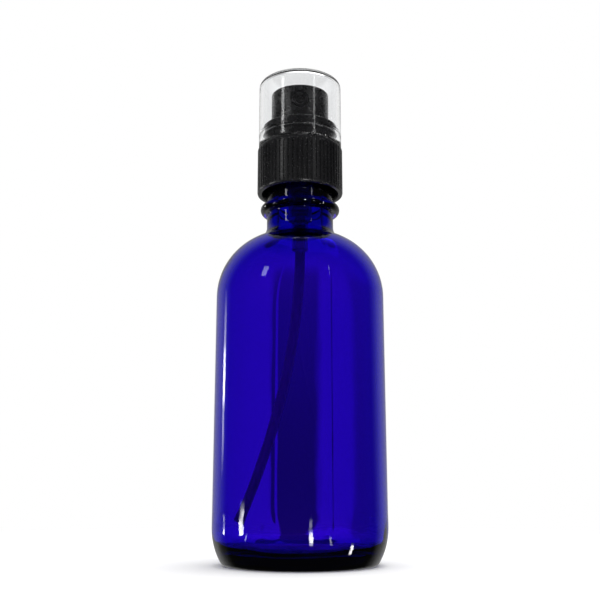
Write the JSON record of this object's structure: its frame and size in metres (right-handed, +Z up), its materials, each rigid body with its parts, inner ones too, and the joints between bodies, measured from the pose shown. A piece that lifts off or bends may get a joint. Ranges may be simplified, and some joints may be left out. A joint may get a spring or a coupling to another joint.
{
  "type": "perfume atomiser",
  "caption": "Round glass bottle with rounded shoulders and a screw-on fine-mist pump sprayer with a curved dip tube, finger-press actuator and clear overcap.",
  "frame": {"origin": "centre of the bottle's base, on the plane it stands on", "axes": "+Z up along the bottle and pump axis, -Y is the side the nozzle faces, -X is the side the dip tube curls towards"},
  "size_m": [0.0486, 0.0486, 0.1424],
  "materials": {
    "cobalt_glass": "clear cobalt-blue glass, glossy",
    "black_plastic": "black polypropylene, semi-gloss",
    "natural_plastic": "natural translucent polypropylene",
    "tube_plastic": "natural translucent polyethylene, satin",
    "white_plastic": "white low-density polyethylene",
    "gasket_foam": "white foamed polyethylene liner",
    "steel": "bright drawn stainless steel",
    "clear_plastic": "clear styrene, glossy"
  },
  "bodies": {
    "bottle": {"bottle": "cobalt_glass"},
    "gasket": {"closure_gasket": "gasket_foam"},
    "pump": {"pump_housing": "natural_plastic", "chaplet": "natural_plastic", "stem_seal": "white_plastic", "return_spring": "steel", "dip_tube": "tube_plastic"},
    "closure": {"closure": "black_plastic"},
    "overcap": {"overcap": "clear_plastic"},
    "plunger": {"stem": "natural_plastic", "valve_post": "natural_plastic"},
    "actuator": {"actuator": "black_plastic", "nozzle_insert": "black_plastic"},
    "piston": {"piston": "white_plastic"},
    "check_ball": {"check_ball": "steel"}
  },
  "joints": [
    {"name": "sprayer_lift", "type": "slide", "parent": "bottle", "child": "gasket", "axis": [0, 0, 1], "range_m": [0, 0.11], "deforming": ["dip_tube"]},
    {"name": "thread_travel", "type": "slide", "parent": "gasket", "child": "pump", "axis": [0, 0, 1], "range_m": [-0.00317, 0]},
    {"name": "closure_turn", "type": "hinge", "parent": "pump", "child": "closure", "pos_m": [0, 0, 0.11], "axis": [0, 0, 1], "range_deg": [-360, 0]},
    {"name": "overcap_lift", "type": "slide", "parent": "closure", "child": "overcap", "axis": [0, 0, 1], "range_m": [0, 0.03]},
    {"name": "actuator_press", "type": "slide", "parent": "pump", "child": "plunger", "axis": [0, 0, -1], "range_m": [0, 0.005], "stiffness_N_per_m": 300, "springref_m": -0.004, "deforming": ["return_spring"]},
    {"name": "actuator_turn", "type": "hinge", "parent": "plunger", "child": "actuator", "pos_m": [0, 0, 0.133], "axis": [0, 0, 1], "continuous": true},
    {"name": "piston_slide", "type": "slide", "parent": "pump", "child": "piston", "axis": [0, 0, -1], "range_m": [0, 0.0045]},
    {"name": "ball_lift", "type": "slide", "parent": "pump", "child": "check_ball", "axis": [0, 0, 1], "range_m": [0, 0.0008]}
  ],
  "couplings": [
    {"joint": "thread_travel", "follows": "closure_turn", "m_per_rad": 0.00050532},
    {"joint": "piston_slide", "follows": "actuator_press", "ratio": 0.9}
  ]
}
